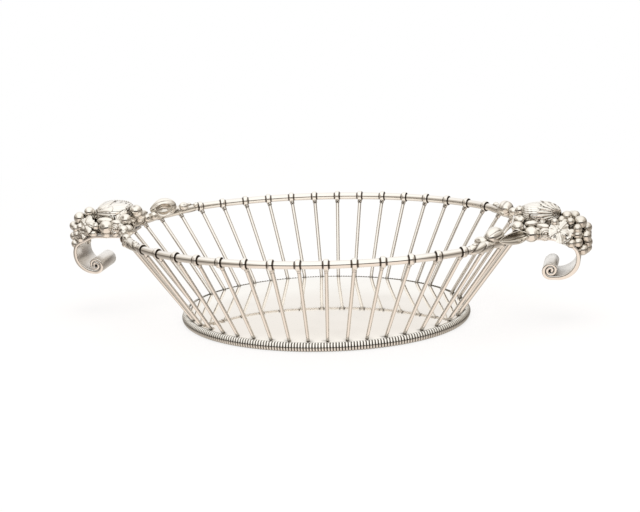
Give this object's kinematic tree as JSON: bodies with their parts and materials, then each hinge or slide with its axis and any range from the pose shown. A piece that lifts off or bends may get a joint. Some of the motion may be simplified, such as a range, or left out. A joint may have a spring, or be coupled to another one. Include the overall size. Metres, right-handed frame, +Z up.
{
  "type": "bread basket",
  "caption": "Oval openwork silver bread basket: leaning wire uprights clasp a rim rod above a reeded foot, with scroll handles under cast fruit and leaves.",
  "frame": {"origin": "on the table under the middle of the basket", "axes": "+X along the basket through both handles, +Y across it, +Z up"},
  "size_m": [0.3982, 0.21, 0.0885],
  "materials": {
    "wrought_silver": "polished",
    "cast_silver": "polished, darker in the recesses"
  },
  "bodies": {
    "root": {"rim_rod": "wrought_silver", "base_plate": "wrought_silver", "reeded_foot_band": "wrought_silver", "upright_01": "wrought_silver", "upright_02": "wrought_silver", "upright_03": "wrought_silver", "upright_04": "wrought_silver", "upright_05": "wrought_silver", "upright_06": "wrought_silver", "upright_07": "wrought_silver", "upright_08": "wrought_silver", "upright_09": "wrought_silver", "upright_10": "wrought_silver", "upright_11": "wrought_silver", "upright_12": "wrought_silver", "upright_13": "wrought_silver", "upright_14": "wrought_silver", "upright_15": "wrought_silver", "upright_16": "wrought_silver", "upright_17": "wrought_silver", "upright_18": "wrought_silver", "upright_19": "wrought_silver", "upright_20": "wrought_silver", "upright_21": "wrought_silver", "upright_22": "wrought_silver", "upright_23": "wrought_silver", "upright_24": "wrought_silver", "upright_25": "wrought_silver", "upright_26": "wrought_silver", "upright_27": "wrought_silver", "upright_28": "wrought_silver", "upright_29": "wrought_silver", "upright_30": "wrought_silver", "upright_31": "wrought_silver", "upright_32": "wrought_silver", "upright_33": "wrought_silver", "upright_34": "wrought_silver", "upright_35": "wrought_silver", "upright_36": "wrought_silver", "upright_37": "wrought_silver", "upright_38": "wrought_silver", "upright_39": "wrought_silver", "upright_40": "wrought_silver", "upright_41": "wrought_silver", "upright_42": "wrought_silver", "right_scroll_strap": "wrought_silver", "right_vine_leaves": "cast_silver", "right_ribbed_melon": "cast_silver", "right_grape_bunch": "cast_silver", "right_front_garland": "cast_silver", "right_back_garland": "cast_silver", "right_crown_plums": "cast_silver", "left_scroll_strap": "wrought_silver", "left_vine_leaves": "cast_silver", "left_ribbed_melon": "cast_silver", "left_grape_bunch": "cast_silver", "left_front_garland": "cast_silver", "left_back_garland": "cast_silver", "left_crown_plums": "cast_silver"}
  },
  "joints": []
}
